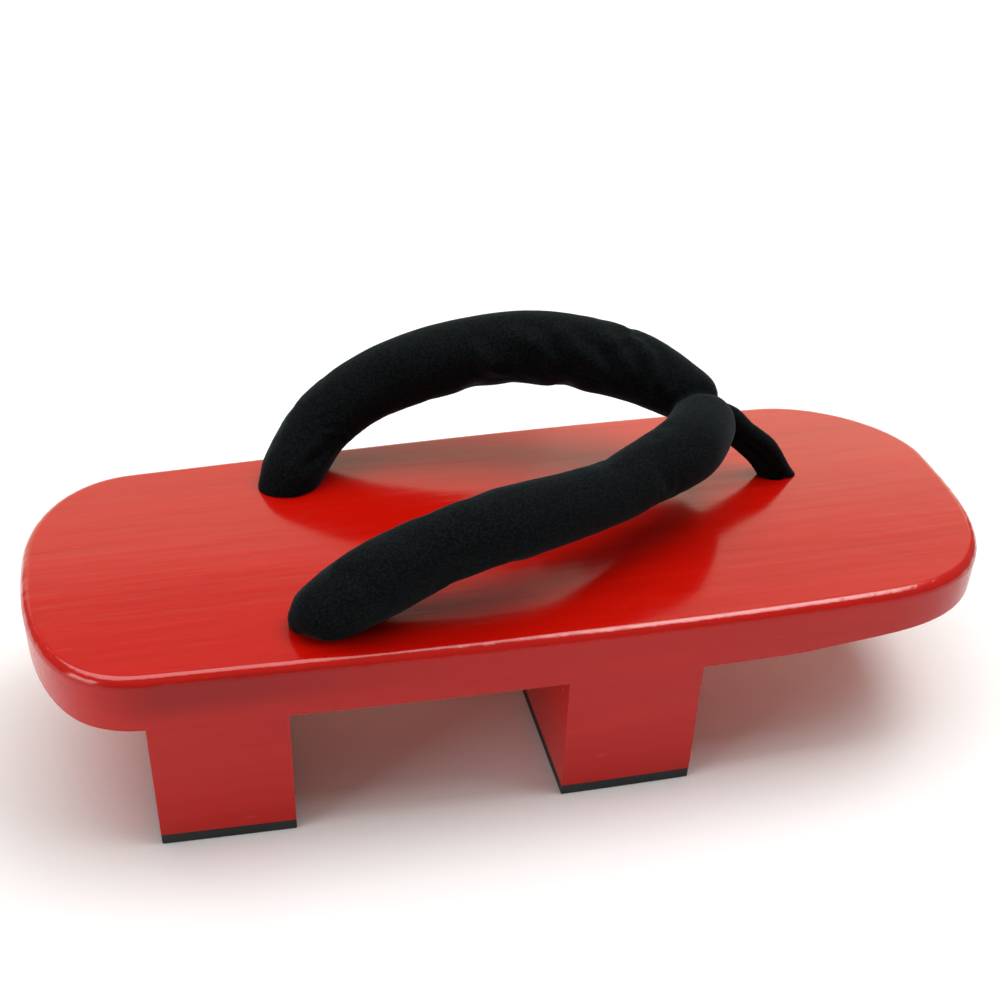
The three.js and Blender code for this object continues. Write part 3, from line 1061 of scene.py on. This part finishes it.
class Look:
    """A material under construction."""

    def __init__(self, name, **constants):
        self.material = bpy.data.materials.new(name)
        self.material.use_nodes = True
        self.tree = self.material.node_tree
        self.shader = self.tree.nodes["Principled BSDF"]
        for key, value in constants.items():
            self.input(key).default_value = value

    def input(self, key):
        """The shader's socket of that name, such as Base Color for base_color."""
        return self.shader.inputs[key.replace("_", " ").title().replace("Ior", "IOR")]

    def feed(self, socket, value):
        if isinstance(value, Value):
            self.tree.links.new(value.socket, socket)
        elif isinstance(value, bpy.types.NodeSocket):
            self.tree.links.new(value, socket)
        else:
            socket.default_value = value

    def node(self, kind, settings=None, sockets=None):
        made = self.tree.nodes.new(kind)
        for key, value in (settings or {}).items():
            setattr(made, key, value)
        for key, value in (sockets or {}).items():
            self.feed(made.inputs[key], value)
        return made

    def coordinates(self, stretch=(1, 1, 1)):
        place = self.node("ShaderNodeTexCoord").outputs["Object"]
        return self.node("ShaderNodeMapping", None, {"Vector": place, "Scale": stretch}).outputs[0]

    def noise(self, size, stretch=(1, 1, 1), detail=2.0, roughness=0.5):
        """Soft noise from 0 to 1, with lumps of the given size in metres, drawn out where stretch is low."""
        made = self.node(
            "ShaderNodeTexNoise",
            None,
            {
                "Vector": self.coordinates(stretch),
                "Scale": 1 / size,
                "Detail": detail,
                "Roughness": roughness,
            })
        return Value(self, made.outputs["Fac"])

    def cells(self, size):
        """0 at the middle of each cell, rising to its rim, with cells of the given size in metres."""
        made = self.node(
            "ShaderNodeTexVoronoi",
            None,
            {"Vector": self.coordinates(), "Scale": 1 / size})
        return Value(self, made.outputs["Distance"])

    def place(self, axis):
        """The place on an axis, in metres."""
        parts = self.node("ShaderNodeSeparateXYZ", None, {0: self.coordinates()})
        return Value(self, parts.outputs[axis])

    def facing_up(self):
        """1 where the surface faces up, 0 where it is upright, -1 where it faces down."""
        normal = self.node("ShaderNodeNewGeometry").outputs["Normal"]
        parts = self.node("ShaderNodeSeparateXYZ", None, {0: normal})
        return Value(self, parts.outputs["Z"])

    def mix(self, share, first, second):
        """A colour from first to second, by share."""
        made = self.node(
            "ShaderNodeMix", {"data_type": "RGBA"}, {"Factor": share, COLOUR_A: first, COLOUR_B: second})
        return made.outputs[COLOUR_RESULT]

    def bump(self, height, distance, under=None):
        sockets = {"Height": height, "Distance": distance, "Strength": 1.0}
        if under is not None:
            sockets["Normal"] = under
        return self.node("ShaderNodeBump", None, sockets).outputs[0]

    def set(self, **values):
        for key, value in values.items():
            self.feed(self.input(key), value)


def lacquer_look():
    """Glossy red lacquer brushed over wood. The grain and the strokes of the brush run lengthwise."""
    deep_red = (0.43, 0.0022, 0.0005, 1)
    bright_red = (0.55, 0.0064, 0.0013, 1)
    scuffed_red = (0.52, 0.10, 0.06, 1)
    # Darker red for the painted dark reflection on the upper side near the heel
    painted_reflection_red = (0.22, 0.0010, 0.0002, 1)
    look = Look("red_lacquer", ior=1.33, coat_roughness=0.13, coat_ior=1.5)

    # Where: upright faces, the rolled edge, and the upper part of the side near the heel, where a dark
    # reflection is painted
    up = look.facing_up()
    side = 1 - up.above(0.2, 0.5)
    roll = up.above(0.1, 0.3) - up.above(0.95, 0.04)
    along = look.place("X")
    near_heel = along.above(HEEL_X + 15 * MM, 15 * MM) - along.above(HEEL_X + 48 * MM, 55 * MM)
    heel_side_painted_reflection = side * look.place("Z").above(TOP_Z - 13 * MM, 6 * MM) * near_heel

    # Grain, strokes of the brush, thicker and thinner lacquer, and scuffs where it is worn
    fibre = look.noise(0.9 * MM, (0.05, 1, 1), roughness=0.6)
    streaks = look.noise(2.4 * MM, (0.045, 1, 1), detail=3.0, roughness=0.6)
    bands = look.noise(11 * MM, (0.1, 1, 1), detail=3.0, roughness=0.55)
    blotches = look.noise(38 * MM, (0.6, 1, 1))
    peel = look.noise(5 * MM, detail=1.0)
    worn = look.noise(18 * MM).above(0.52, 0.12)
    scuffs = look.noise(1.3 * MM, (0.16, 1, 1)).above(0.68, 0.08) * worn

    tone = (0.4 * streaks + 0.35 * bands + 0.25 * blotches - 0.5) * 2.2 + 0.5
    colour = look.mix(tone.above(0.0, 1.0), deep_red, bright_red)
    colour = look.mix(0.18 * scuffs, colour, scuffed_red)
    # Painted reflection: the upper part of the side near the heel is darkened as though it mirrored dark
    # surroundings
    colour = look.mix(0.6 * heel_side_painted_reflection, colour, painted_reflection_red)
    wobble = (look.noise(9 * MM) + 0.25 * look.noise(2.5 * MM) - 0.625) * roll
    relief = look.bump(0.5 * bands + 0.7 * blotches, 0.35 * MM)
    relief = look.bump(wobble, 0.9 * MM, relief)
    look.set(
        base_color=colour,
        roughness=0.11 + 0.06 * streaks + 0.15 * scuffs + 0.1 * side,
        coat_weight=0.85 - 0.8 * side - 0.2 * scuffs,
        normal=look.bump(0.6 * fibre + 0.8 * streaks + 0.8 * peel, 0.05 * MM, relief))
    return {"material": look.material, "slot": "lacquered_wood"}


def rubber_look():
    """Dark matt rubber."""
    dark_rubber = (0.012, 0.015, 0.016, 1)
    dusty_rubber = (0.026, 0.031, 0.033, 1)
    look = Look("tread_rubber", specular_ior_level=0.35)
    fine = look.noise(0.7 * MM, detail=3.0)
    wide = look.noise(12 * MM)
    look.set(
        base_color=look.mix(wide, dark_rubber, dusty_rubber),
        roughness=0.62 + 0.2 * fine,
        normal=look.bump(fine, 0.06 * MM))
    return {"material": look.material, "slot": "tread_rubber"}


def crepe_look():
    """Black crepe with a fine pebbly face and a soft bluish nap."""
    deep_black = (0.0002, 0.0004, 0.0005, 1)
    lit_thread = (0.0056, 0.0102, 0.0124, 1)
    worn_black = (0.003, 0.005, 0.006, 1)
    bluish_nap = (0.52, 0.78, 0.90, 1)
    look = Look(
        "black_crepe",
        specular_ior_level=0.1,
        sheen_weight=0.075,
        sheen_roughness=0.4,
        sheen_tint=bluish_nap)
    pebble = 1 - look.cells(0.62 * MM)
    thread = look.noise(0.3 * MM)
    patches = look.noise(3.0 * MM)
    wear = look.noise(22 * MM)
    speckle = (0.8 * pebble + 0.7 * thread - 0.35).above(0.30, 0.50)
    colour = look.mix(speckle, deep_black, lit_thread)
    look.set(
        base_color=look.mix(0.3 * wear, colour, worn_black),
        roughness=0.85 + 0.1 * thread,
        normal=look.bump(0.8 * pebble + 0.5 * thread + 0.5 * patches, 0.07 * MM))
    return {"material": look.material, "slot": "strap_cloth"}


def cord_look():
    """Black cotton yarn of the knots."""
    black_yarn = (0.006, 0.007, 0.008, 1)
    faded_yarn = (0.02, 0.023, 0.025, 1)
    look = Look("black_cotton_cord", specular_ior_level=0.2, sheen_weight=0.15, sheen_roughness=0.5)
    yarn = look.noise(0.35 * MM, (1, 1, 0.4))
    look.set(
        base_color=look.mix(yarn, black_yarn, faded_yarn),
        roughness=0.8 + 0.15 * yarn,
        normal=look.bump(yarn, 0.1 * MM))
    return {"material": look.material, "slot": "strap_cloth"}


def floor_look():
    """Pale matt paper."""
    pale_grey = (0.93, 0.93, 0.93, 1)
    return Look("pale_floor", specular_ior_level=0.1, base_color=pale_grey, roughness=0.9).material


# Assembly

place_camera()
light_studio()
lay_floor(floor_look())

lacquer = lacquer_look()
rubber = rubber_look()
crepe = crepe_look()
cotton = cord_look()

build_platform(lacquer)
build_tread("rear_tread", rubber)
build_tread("front_tread", rubber)
build_strap(crepe)
build_toe_post(crepe)
build_knots(cotton)
deselect_all()
